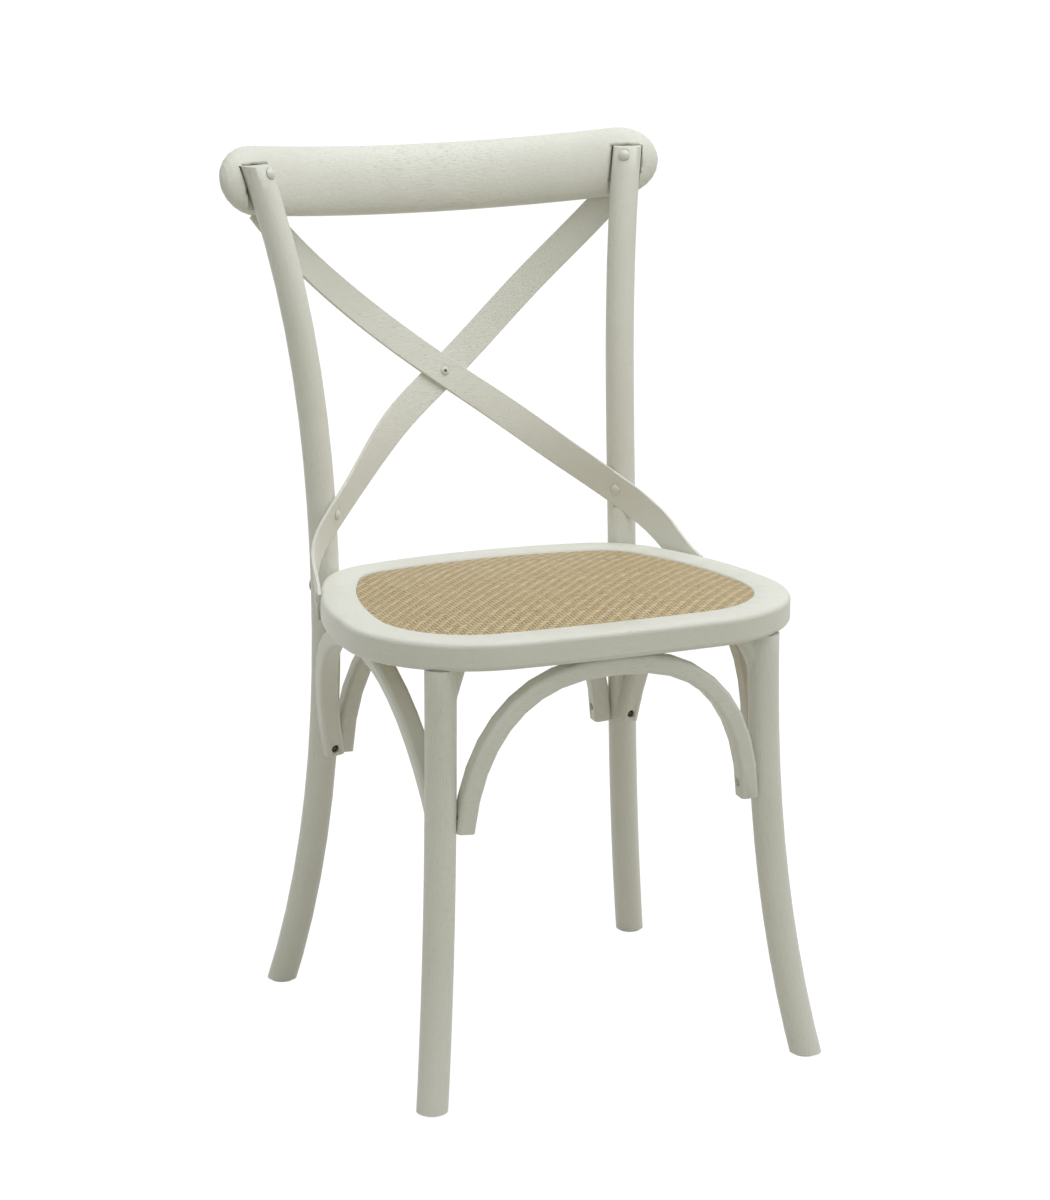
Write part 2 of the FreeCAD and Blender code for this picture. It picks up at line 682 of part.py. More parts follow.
def rounded_rectangle(sketch, length, width, radius):
    """Rectangle about the origin with rounded corners, bound to three sizes."""
    half_x, half_y, r = size(length) / 2, size(width) / 2, size(radius)
    centres = [(half_x - r, half_y - r), (r - half_x, half_y - r), (r - half_x, r - half_y),
               (half_x - r, r - half_y)]
    for quarter, (x, y) in enumerate(centres):
        circle = Part.Circle(Vector(x, y, 0), UP, r)
        sketch.addGeometry(Part.ArcOfCircle(circle, quarter * math.pi / 2, (quarter + 1) * math.pi / 2))
    for quarter in range(4):
        ahead = (quarter + 1) % 4
        arc, following = sketch.Geometry[quarter], sketch.Geometry[ahead]
        sketch.addGeometry(Part.LineSegment(arc.EndPoint, following.StartPoint))
    for quarter in range(4):
        sketch.addConstraint(Sketcher.Constraint("Tangent", quarter, 2, 4 + quarter, 1))
        sketch.addConstraint(Sketcher.Constraint("Tangent", 4 + quarter, 2, (quarter + 1) % 4, 1))
    for quarter in range(1, 4):
        sketch.addConstraint(Sketcher.Constraint("Equal", 0, quarter))
    constrain(sketch, "edge_round", f"Sizes.{radius}", "Radius", 0, r)
    constrain(sketch, "to_right", f"Sizes.{length} / 2 - Sizes.{radius}", "DistanceX", -1, 1, 0, 3, half_x - r)
    constrain(sketch, "to_left", f"Sizes.{length} / 2 - Sizes.{radius}", "DistanceX", 2, 3, -1, 1, half_x - r)
    constrain(sketch, "to_top", f"Sizes.{width} / 2 - Sizes.{radius}", "DistanceY", -1, 1, 0, 3, half_y - r)
    constrain(sketch, "to_bottom", f"Sizes.{width} / 2 - Sizes.{radius}", "DistanceY", 2, 3, -1, 1, half_y - r)


foot_level = size("side_brace_foot_height")
leg_at_foot, post_at_foot = leg_centre(foot_level, 1.0), post_centre(foot_level, 1.0)
leg_share = size("leg_diameter") / 2 - size("leg_scribe")
post_share = size("post_diameter") / 2 - size("rear_post_scribe")


def brace_frame(origin, span, lean):
    """Frame of a brace: X along its span, Y up and leaning outwards by an angle."""
    out = Vector(span).cross(UP)
    up = UP * math.cos(math.radians(lean)) + out * math.sin(math.radians(lean))
    return frame_of(origin, Vector(span).cross(up), span)


# name: origin at foot level, direction of the span, half of the outer span, lean outwards
side_front_reach = leg_at_foot.y + math.sqrt((size("leg_diameter") / 2) ** 2
                                             - (leg_at_foot.x - size("side_brace_x")) ** 2)
side_rear_reach = post_at_foot.y - math.sqrt((size("post_diameter") / 2) ** 2
                                             - (post_at_foot.x - size("side_brace_x")) ** 2)
side_front_end = side_front_reach - size("leg_scribe")
side_rear_end = side_rear_reach + size("side_post_scribe")
side_middle = (side_front_end + side_rear_end) / 2
side_half = (side_rear_end - side_front_end) / 2
BRACES = {
    "front": (Vector(0, size("front_brace_y"), size("front_brace_foot_height")), Vector(1, 0, 0), leg_at_foot.x - leg_share,
              size("front_brace_lean")),
    "rear": (Vector(0, size("rear_brace_y"), size("rear_brace_foot_height")), Vector(-1, 0, 0), post_at_foot.x - post_share,
             -size("rear_brace_lean")),
    "right": (Vector(size("side_brace_x"), side_middle, foot_level), Vector(0, 1, 0), side_half,
              size("side_brace_lean")),
    "left": (Vector(-size("side_brace_x"), side_middle, foot_level), Vector(0, -1, 0), side_half,
             size("side_brace_lean")),
}
arch_power, front_power = size("brace_arch_power"), size("side_brace_front_power")
ARCH_POWERS = {"front": (arch_power, arch_power), "rear": (arch_power, arch_power),
               "right": (front_power, arch_power), "left": (arch_power, front_power)}
brace_blanks, brace_frames = {}, {}
for name, (origin, span, half_span, lean) in BRACES.items():
    brace_frames[name] = brace_frame(origin, span, lean)
    brace_blanks[name] = brace_blank(f"{name}_brace", half_span, lean, brace_frames[name],
                                      ARCH_POWERS[name])
doc.recompute()

# Fasteners: each is one turned profile, and each wood part is drilled for it


def dome_bolt(name, place, head, head_height, shank, length):
    """Domed head above the placement's plane, shank below it."""
    body = doc.addObject("PartDesign::Body", name)
    sketch = new_sketch(body, f"{name}_profile", "XZ_Plane")
    head_r, rise, shank_r, reach = size(head) / 2, size(head_height), size(shank) / 2, size(length)
    rim = rise * 0.3
    corners = [(0, -reach), (shank_r, -reach), (shank_r, 0), (head_r, 0), (head_r, rim)]
    dome_r = (head_r ** 2 + (rise - rim) ** 2) / (2 * (rise - rim))
    dome_z = rise - dome_r
    for first, second in zip(corners, corners[1:]):
        sketch.addGeometry(Part.LineSegment(Vector(*first, 0), Vector(*second, 0)))
    dome = Part.Circle(Vector(0, dome_z, 0), UP, dome_r)
    sketch.addGeometry(Part.ArcOfCircle(dome, math.atan2(rim - dome_z, head_r), math.pi / 2))
    sketch.addGeometry(Part.LineSegment(Vector(0, rise, 0), Vector(0, -reach, 0)))
    for index in range(3):
        sketch.addConstraint(Sketcher.Constraint("Coincident", index, 2, index + 1, 1))
    sketch.addConstraint(Sketcher.Constraint("Coincident", 3, 2, 4, 1))
    sketch.addConstraint(Sketcher.Constraint("Coincident", 4, 2, 5, 1))
    sketch.addConstraint(Sketcher.Constraint("Coincident", 5, 2, 0, 1))
    sketch.addConstraint(Sketcher.Constraint("PointOnObject", 4, 3, -2))
    sketch.addConstraint(Sketcher.Constraint("PointOnObject", 5, 1, -2))
    sketch.addConstraint(Sketcher.Constraint("PointOnObject", 5, 2, -2))
    for index in (0, 2):
        sketch.addConstraint(Sketcher.Constraint("Horizontal", index))
    for index in (1, 3):
        sketch.addConstraint(Sketcher.Constraint("Vertical", index))
    constrain(sketch, "reach", f"Sizes.{length}", "DistanceY", 0, 1, -1, 1, reach)
    constrain(sketch, "shank", f"Sizes.{shank} / 2", "DistanceX", -1, 1, 1, 2, shank_r)
    sketch.addConstraint(Sketcher.Constraint("PointOnObject", 1, 2, -1))
    constrain(sketch, "head", f"Sizes.{head} / 2", "DistanceX", -1, 1, 2, 2, head_r)
    constrain(sketch, "rim", f"Sizes.{head_height} * 0.3", "DistanceY", -1, 1, 3, 2, rim)
    constrain(sketch, "rise", f"Sizes.{head_height}", "DistanceY", -1, 1, 5, 1, rise)
    turned = body.newObject("PartDesign::Revolution", f"{name}_turned")
    turned.Profile = sketch
    turned.ReferenceAxis = (sketch, ["V_Axis"])
    body.Placement = place
    return body


def drilled(name, place, diameter, length):
    """Clearance hole that runs down from the placement's plane."""
    hole = add("Part::Cylinder", name, Radius=f"Sizes.{diameter} / 2 + Sizes.fit_gap",
               Height=f"Sizes.{length} + 2 * Sizes.fit_gap")
    start = Vector(0, 0, -size(length) - size("fit_gap"))
    hole.Placement = place.multiply(Placement(start, Rotation()))
    return hole


def bored(name, place, radius, bottom, top):
    """Round tool between two levels of the placement, for recesses and through holes."""
    hole = add("Part::Cylinder", name, Radius=radius, Height=top - bottom)
    hole.Placement = place.multiply(Placement(Vector(0, 0, bottom), Rotation()))
    return hole


def hex_nut(name, place, flats, height, shank):
    """Hexagon nut that rests with its lower face on the placement's plane."""
    body = doc.addObject("PartDesign::Body", name)
    sketch = new_sketch(body, f"{name}_outline")
    across_corners = size(flats) / math.cos(math.pi / 6)
    for corner in range(6):
        ends = [Vector(math.cos(turn), math.sin(turn), 0) * (across_corners / 2)
                for turn in (corner * math.pi / 3, (corner + 1) * math.pi / 3)]
        sketch.addGeometry(Part.LineSegment(*ends))
    for corner in range(6):
        sketch.addConstraint(Sketcher.Constraint("Coincident", corner, 2, (corner + 1) % 6, 1))
        if corner:
            sketch.addConstraint(Sketcher.Constraint("Equal", 0, corner))
    sketch.addGeometry(Part.Circle(Vector(0, 0, 0), UP, across_corners / 2), True)
    for corner in range(6):
        sketch.addConstraint(Sketcher.Constraint("PointOnObject", corner, 1, 6))
    sketch.addConstraint(Sketcher.Constraint("Coincident", 6, 3, -1, 1))
    sketch.addConstraint(Sketcher.Constraint("PointOnObject", 0, 1, -1))
    constrain(sketch, "corners", f"Sizes.{flats} / cos(30 deg)", "Diameter", 6, across_corners)
    sketch.addGeometry(Part.Circle(Vector(0, 0, 0), UP, size(shank) / 2 + size("fit_gap") / 2), False)
    sketch.addConstraint(Sketcher.Constraint("Coincident", 7, 3, -1, 1))
    constrain(sketch, "bore", f"Sizes.{shank} + Sizes.fit_gap", "Diameter", 7, size(shank) + size("fit_gap"))
    pad = body.newObject("PartDesign::Pad", f"{name}_pad")
    pad.Profile = sketch
    pad.setExpression("Length", f"Sizes.{height}")
    body.Placement = place
    return body


fasteners = {}
drills = {"post": {-1.0: [], 1.0: []}, "leg": {-1.0: [], 1.0: []}, "ring": [], "rail": [], "board": [],
          "slat": {"front": [], "rear": []}, "brace": {name: [] for name in BRACES}}


def keep(node, body):
    fasteners.setdefault(node, []).append(body)


# Crest rail bolts: from the front of each post top into the rail
for side_name, side in SIDES.items():
    top = notch_frame(side, "rail_bolt_angle")
    seat_in = size("post_diameter") / 2 - size("head_seating")
    head_at = top.multVec(Vector(0, -seat_in, -size("rail_bolt_drop")))
    place = frame_of(head_at, top.Rotation.multVec(Vector(0, -1, 0)), Vector(1, 0, 0))
    keep("crest_rail_bolts", dome_bolt(f"crest_rail_bolt_{side_name}", place, "rail_bolt_head",
                                       "rail_bolt_head_height", "rail_bolt_shank", "rail_bolt_length"))
    hole = drilled(f"crest_rail_bolt_hole_{side_name}", place, "rail_bolt_shank", "rail_bolt_length")
    facing_seat = bored(f"crest_rail_bolt_seat_{side_name}", place, "Sizes.rail_bolt_head / 2 + Sizes.fit_gap",
                        0.0, 8.0)
    drills["post"][side] += [hole, facing_seat]
    drills["rail"].append(hole)

# Bolt and nut where the strips cross
front_face = size("cross_gap") / 2 + size("slat_thickness") - size("cross_seating")
cross_head = frame_of(cross_centre + cross_face * front_face, cross_face, Vector(1, 0, 0))
cross_tail = frame_of(cross_centre - cross_face * front_face, -cross_face, Vector(1, 0, 0))
keep("cross_center_bolt", dome_bolt("cross_bolt", cross_head, "cross_bolt_head", "cross_bolt_head_height",
                                    "cross_bolt_shank", "cross_bolt_length"))
keep("cross_center_nut", hex_nut("cross_nut", cross_tail, "cross_nut_flats", "cross_nut_height",
                                 "cross_bolt_shank"))
cross_hole = drilled("cross_bolt_hole", cross_head, "cross_bolt_shank", "cross_bolt_length")
head_seat = bored("cross_bolt_seat", cross_head, "Sizes.cross_bolt_head / 2 + Sizes.fit_gap", 0.0, 6.0)
nut_seat = bored("cross_nut_seat", cross_tail, "Sizes.cross_nut_flats / 2 / cos(30 deg) + Sizes.fit_gap", 0.0, 6.0)
drills["slat"]["front"] += [cross_hole, head_seat]
drills["slat"]["rear"] += [cross_hole, nut_seat]

# Screws through the strips into the posts, and through their ends into the seat frame
for side_name, side in SIDES.items():
    slat_name = "front" if side > 0 else "rear"
    points, faces = slat_path(layer_step if side > 0 else -layer_step)

    def flipped(vector):
        return Vector(vector.x * side, vector.y, vector.z)

    for node, index, sign in (("slat_post_screws", 6, 1.0), ("slat_seat_screws", 9, -1.0)):
        along = flipped((points[index] - points[index - 1]).normalize())
        face = flipped(faces[index]) * sign
        middle = flipped(points[index])
        if node == "slat_seat_screws":
            middle = middle - along * size("slat_screw_setback")
        face = (face - along * face.dot(along)).normalize() if node == "slat_seat_screws" else face
        place = frame_of(middle + face * (size("slat_thickness") / 2 - size("slat_screw_seating")), face, UP)
        stem = f"{node[:-1]}_{side_name}"
        keep(node, dome_bolt(stem, place, "slat_screw_head", "slat_screw_head_height", "slat_screw_shank",
                             "slat_screw_length"))
        hole = drilled(f"{stem}_hole", place, "slat_screw_shank", "slat_screw_length")
        seat = bored(f"{stem}_seat", place, "Sizes.slat_screw_head / 2 + Sizes.fit_gap", 0.0, 6.0)
        drills["slat"][slat_name] += [hole, seat]
        if node == "slat_post_screws":
            drills["post"][side].append(hole)
        else:
            drills["ring"].append(hole)

# Bolts from the back of each post through the seat frame, with a nut inside
arcs, radii = outline_arcs(0.0)
rear_corner = arcs[3][1]
for side_name, side in SIDES.items():
    level = size("seat_bolt_height")
    post = post_centre(level, 1.0)
    away = Vector(post.x - rear_corner.x, post.y - rear_corner.y, 0).normalize()
    corner = Vector(rear_corner.x, rear_corner.y, level)
    inner = corner + away * (size("rear_corner_radius") - size("frame_band") + size("head_seating") / 2)
    head = post + away * (size("post_diameter") / 2 - size("head_seating"))

    def flipped(vector):
        return Vector(vector.x * side, vector.y, vector.z)

    place = frame_of(flipped(head), flipped(away), UP)
    keep("post_seat_bolts", dome_bolt(f"post_seat_bolt_{side_name}", place, "seat_bolt_head",
                                      "seat_bolt_head_height", "seat_bolt_shank", "seat_bolt_length"))
    keep("post_seat_nuts", hex_nut(f"post_seat_nut_{side_name}", frame_of(flipped(inner), flipped(-away), UP),
                                   "seat_nut_flats", "seat_nut_height", "seat_bolt_shank"))
    hole = drilled(f"post_seat_bolt_hole_{side_name}", place, "seat_bolt_shank", "seat_bolt_length")
    seat = bored(f"post_seat_bolt_seat_{side_name}", place, "Sizes.seat_bolt_head / 2 + Sizes.fit_gap", 0.0, 8.0)
    nut_seat = bored(f"post_seat_nut_seat_{side_name}", frame_of(flipped(inner), flipped(-away), UP),
                     "Sizes.seat_nut_flats / 2 / cos(30 deg) + Sizes.fit_gap", 0.0, 8.0)
    drills["post"][side] += [hole, seat]
    drills["ring"] += [hole, nut_seat]

# Screws of the braces: one in each foot, recessed, and two up through each crown
for name, (origin, span, half_span, lean) in BRACES.items():
    frame = brace_frames[name]
    for end in (-1.0, 1.0):
        inside = half_span - size("brace_thickness") - size("brace_foot_draw")
        rise = size("brace_screw_rise" if name in ("front", "rear") else "side_brace_screw_rise")
        place_at = frame.multVec(Vector(end * inside, rise, 0))
        inward = frame.Rotation.multVec(Vector(-end, 0, 0))
        head_at = place_at - inward * (size("brace_screw_recess") + size("brace_screw_head_height"))
        place = frame_of(head_at, inward, UP)
        tag = f"{name}_{'near' if end < 0 else 'far'}"
        keep("brace_leg_screws", dome_bolt(f"brace_leg_screw_{tag}", place, "brace_screw_head",
                                           "brace_screw_head_height", "brace_screw_shank",
                                           "brace_screw_length"))
        hole = drilled(f"brace_leg_screw_hole_{tag}", place, "brace_screw_shank", "brace_screw_length")
        recess = bored(f"brace_leg_screw_recess_{tag}", place, "Sizes.brace_screw_head / 2 + Sizes.fit_gap",
                       0.0, 12.0)
        drills["brace"][name] += [hole, recess]
        target = frame.multVec(Vector(end * half_span, 0, 0))
        side = math.copysign(1.0, target.x)
        drills["leg" if target.y < 0 else "post"][side].append(hole)
    lowest = underside + size("brace_seating") - size("brace_thickness") + size("brace_crown_draw")
    lift = (lowest - origin.z) / math.cos(math.radians(lean))
    for end in (-1.0, 1.0):
        head_at = frame.multVec(Vector(end * size("crown_screw_spacing") / 2, lift, 0))
        place = frame_of(head_at, Vector(0, 0, -1), Vector(1, 0, 0))
        tag = f"{name}_{'near' if end < 0 else 'far'}"
        keep("brace_seat_screws", dome_bolt(f"brace_seat_screw_{tag}", place, "crown_screw_head",
                                            "crown_screw_head_height", "brace_screw_shank",
                                            "crown_screw_length"))
        hole = drilled(f"brace_seat_screw_hole_{tag}", place, "brace_screw_shank", "crown_screw_length")
        seat = bored(f"brace_seat_screw_seat_{tag}", place, "Sizes.crown_screw_head / 2 + Sizes.fit_gap", 0.0, 8.0)
        drills["brace"][name] += [hole, seat]
        drills["ring"].append(hole)

# Screws that hold the panel down from below, through the ledge of the seat frame
ledge = size("frame_band") - size("rebate_width") / 2
front_reach = size("front_bow_radius") - ledge
rear_reach = size("rear_bow_radius") - ledge
for side_name, side in SIDES.items():
    x = side * size("board_screw_x")
    front_y = arcs[0][1].y - math.sqrt(front_reach ** 2 - x ** 2)
    rear_y = arcs[4][1].y + math.sqrt(rear_reach ** 2 - x ** 2)
    for tag, y in (("front", front_y), ("rear", rear_y)):
        place = frame_of(Vector(x, y, underside), Vector(0, 0, -1), Vector(1, 0, 0))
        keep("seat_board_screws", dome_bolt(f"seat_board_screw_{tag}_{side_name}", place, "board_screw_head",
                                            "board_screw_head_height", "board_screw_shank",
                                            "board_screw_length"))
        hole = drilled(f"seat_board_screw_hole_{tag}_{side_name}", place, "board_screw_shank",
                       "board_screw_length")
        drills["ring"].append(hole)
        drills["board"].append(hole)

# Foot glides: a disc with a nail up into the wood
glide_top = size("glide_thickness")
for side_name, side in SIDES.items():
    for tag, centre, group in (("front", leg_centre(glide_top, side), "leg"),
                               ("rear", post_centre(glide_top, side), "post")):
        disc = add("Part::Cylinder", f"glide_disc_{tag}_{side_name}", Radius="Sizes.glide_diameter / 2",
                   Height="Sizes.glide_thickness")
        disc.Placement = Placement(Vector(centre.x, centre.y, 0), Rotation())
        nail = add("Part::Cylinder", f"glide_nail_{tag}_{side_name}", Radius="Sizes.glide_nail_diameter / 2",
                   Height="Sizes.glide_thickness + Sizes.glide_nail_length")
        nail.Placement = disc.Placement
        keep("foot_glides", fused(f"glide_{tag}_{side_name}", disc, nail))
        hole = add("Part::Cylinder", f"glide_hole_{tag}_{side_name}",
                   Radius="Sizes.glide_nail_diameter / 2 + Sizes.fit_gap / 2",
                   Height="Sizes.glide_thickness + Sizes.glide_nail_length + Sizes.fit_gap")
        hole.Placement = disc.Placement
        drills[group][side].append(hole)
floor_cut = add("Part::Box", "floor_cut", Length=1000.0, Width=1000.0, Height=100.0)
floor_cut.Placement = Placement(Vector(-500, -500, size("glide_thickness") - 100), Rotation())
doc.recompute()

# Finished wood parts: each blank less its joints and holes

nodes = {}


def finish(node, blank, *tools):
    cut = add("Part::Cut", node, Base=blank, Tool=fused(f"{node}_tools", *tools) if len(tools) > 1 else tools[0])
    nodes[node] = cut
    return cut


def grouped(node, members):
    nodes[node] = add("Part::Compound", node, Links=members) if len(members) > 1 else members[0]


for side_name, side in SIDES.items():
    finish(f"rear_post_{side_name}", post_blanks[side], floor_cut, above_posts, post_flats[side],
           slat_housings["front" if side > 0 else "rear"], *drills["post"][side])
    finish(f"front_leg_{side_name}", leg_blanks[side], floor_cut, *drills["leg"][side])
tenon_holes = []
for side_name, side in SIDES.items():
    hole = add("Part::Cylinder", f"tenon_hole_{side_name}", Radius="Sizes.leg_tenon_diameter / 2 + Sizes.fit_gap",
               Height="Sizes.leg_tenon_length + Sizes.fit_gap + 1")
    hole.Placement = Placement(leg_centre(underside, side) - UP, Rotation())
    tenon_holes.append(hole)
finish("seat_frame", ring_body, *tenon_holes, *post_housings.values(), *slat_housings.values(), *drills["ring"])
finish("crest_rail", rail_blank, *notches, *slat_housings.values(), *drills["rail"])
for name in ("front", "rear"):
    finish(f"cross_slat_{name}", slat_solids[name], *drills["slat"][name])
for name in BRACES:
    neighbours = {"front": list(leg_housings.values()), "rear": list(post_housings.values()),
                  "right": [leg_housings[1.0], post_housings[1.0]],
                  "left": [leg_housings[-1.0], post_housings[-1.0]]}[name]
    finish(f"{name}_brace", brace_blanks[name], crown_plane, *neighbours, *drills["brace"][name])
finish("seat_board", board_body, *drills["board"])
nodes["seat_pad"] = filling_block
finish("woven_seat", cover_block, hollow_block)
for node, members in fasteners.items():
    grouped(node, members)
doc.recompute()

# Check and write

for thing in doc.Objects:
    assert not {"Invalid", "Error"} & set(thing.State), f"{thing.Name} did not build"
os.makedirs("parts", exist_ok=True)
for node, thing in nodes.items():
    thing.Label = node
    assert not thing.Shape.isNull() and thing.Shape.isValid(), f"{node} is not a sound shape"
    thing.Shape.exportStep(f"parts/{node}.step")
    print(node, len(thing.Shape.Solids), "solids", round(thing.Shape.Volume / 1000, 1), "cm3")
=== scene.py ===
"""Looks of the cross back chair: off-white satin paint on bent wood and a woven rattan seat."""

import json
import logging
import math
from dataclasses import dataclass, field
from enum import Enum

import bpy
import numpy as np
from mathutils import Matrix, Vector

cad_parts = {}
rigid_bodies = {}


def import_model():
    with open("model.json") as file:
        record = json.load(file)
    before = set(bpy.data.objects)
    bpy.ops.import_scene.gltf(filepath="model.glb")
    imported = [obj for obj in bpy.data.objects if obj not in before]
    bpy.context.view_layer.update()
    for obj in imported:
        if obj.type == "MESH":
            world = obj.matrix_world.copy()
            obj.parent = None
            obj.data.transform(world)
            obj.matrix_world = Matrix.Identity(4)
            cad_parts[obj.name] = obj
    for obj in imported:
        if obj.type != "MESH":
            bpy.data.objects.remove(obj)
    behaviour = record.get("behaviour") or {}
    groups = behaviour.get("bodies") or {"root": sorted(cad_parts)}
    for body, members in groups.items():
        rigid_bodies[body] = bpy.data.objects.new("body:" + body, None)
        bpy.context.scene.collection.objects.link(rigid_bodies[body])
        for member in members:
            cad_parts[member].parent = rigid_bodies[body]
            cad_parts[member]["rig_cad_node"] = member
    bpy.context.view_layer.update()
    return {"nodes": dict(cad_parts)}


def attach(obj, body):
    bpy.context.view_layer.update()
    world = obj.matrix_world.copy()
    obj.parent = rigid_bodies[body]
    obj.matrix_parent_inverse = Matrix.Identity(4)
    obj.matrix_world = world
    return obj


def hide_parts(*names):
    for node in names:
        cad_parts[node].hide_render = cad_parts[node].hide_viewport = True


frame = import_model()
LOG = logging.getLogger("chair")
Triple = tuple[float, float, float]
Range = tuple[float, float]
Shade = tuple[float, float, float, float]
Socket = bpy.types.NodeSocket
WHITE: Shade = (1.0, 1.0, 1.0, 1.0)


class Grain(Enum):
    """Direction in which the wood under the paint runs, as the stretch of its streaks."""

    UPRIGHT = (90.0, 90.0, 5.0)
    ACROSS = (5.0, 90.0, 90.0)
    FRONT_TO_BACK = (90.0, 5.0, 90.0)
    ROUND_THE_SEAT = (4.0, 90.0, 90.0)


def shown(colour: Triple) -> Shade:
    """Turns a colour as seen, 0 to 255 a channel, into the shader's own scale.

    Args:
        colour: red, green and blue as they appear on a screen.

    Returns:
        The colour in linear light, opaque.
    """
    scaled = []
    for channel in colour:
        share = channel / 255
        scaled.append(share / 12.92 if share <= 0.04045 else ((share + 0.055) / 1.055) ** 2.4)
    return (scaled[0], scaled[1], scaled[2], 1.0)


def only(piece: bpy.types.Object) -> None:
    """Selects one piece and makes it the active one.

    Args:
        piece: the piece that the next operators work on.
    """
    for other in bpy.context.selected_objects:
        other.select_set(False)
    piece.select_set(True)
    bpy.context.view_layer.objects.active = piece


class Field:
    """A number that varies over a surface and is used in sums like any other.

    Args:
        recipe: the material recipe that it is part of.
        socket: the node socket that carries it.
    """

    def __init__(self, recipe: "Recipe", socket: Socket) -> None:
        """Keeps the recipe and the socket."""
        self.recipe = recipe
        self.socket = socket

    def __add__(self, other: "Field | float") -> "Field":
        """Returns the sum."""
        return self.recipe.reckon("ADD", self, other)

    def __sub__(self, other: "Field | float") -> "Field":
        """Returns the difference."""
        return self.recipe.reckon("SUBTRACT", self, other)

    def __rsub__(self, other: float) -> "Field":
        """Returns a plain number less this one."""
        return self.recipe.reckon("SUBTRACT", other, self)

    def __mul__(self, other: "Field | float") -> "Field":
        """Returns the product."""
        return self.recipe.reckon("MULTIPLY", self, other)

    def __truediv__(self, other: "Field | float") -> "Field":
        """Returns the quotient."""
        return self.recipe.reckon("DIVIDE", self, other)

    def __mod__(self, other: float) -> "Field":
        """Returns what is left after whole steps, never below zero."""
        return self.recipe.reckon("FLOORED_MODULO", self, other)

    def __pow__(self, other: float) -> "Field":
        """Returns the power."""
        return self.recipe.reckon("POWER", self, other)

    def __abs__(self) -> "Field":
        """Returns the size without its sign."""
        return self.recipe.reckon("ABSOLUTE", self)

    def below(self, limit: float) -> "Field":
        """Returns 1 where this is below a limit, and 0 elsewhere."""
        return self.recipe.reckon("LESS_THAN", self, limit)

    def at_least(self, limit: float) -> "Field":
        """Returns this or the limit, whichever is larger."""
        return self.recipe.reckon("MAXIMUM", self, limit)

    def floor(self) -> "Field":
        """Returns the whole number below."""
        return self.recipe.reckon("FLOOR", self)

    def fraction(self) -> "Field":
        """Returns the part above the whole number."""
        return self.recipe.reckon("FRACT", self)

    def root(self) -> "Field":
        """Returns the square root."""
        return self.recipe.reckon("SQRT", self)

    def cosine(self) -> "Field":
        """Returns the cosine."""
        return self.recipe.reckon("COSINE", self)

    def spread(self, source: Range, target: Range = (0.0, 1.0)) -> "Field":
        """Carries this from one range to another and holds it there.

        Args:
            source: the range that this comes from.
            target: the range that it goes to.

        Returns:
            The carried number.
        """
        node = self.recipe.node("ShaderNodeMapRange")
        for socket, value in zip(node.inputs, (self, *source, *target)):
            self.recipe.put(socket, value)
        return Field(self.recipe, node.outputs[0])


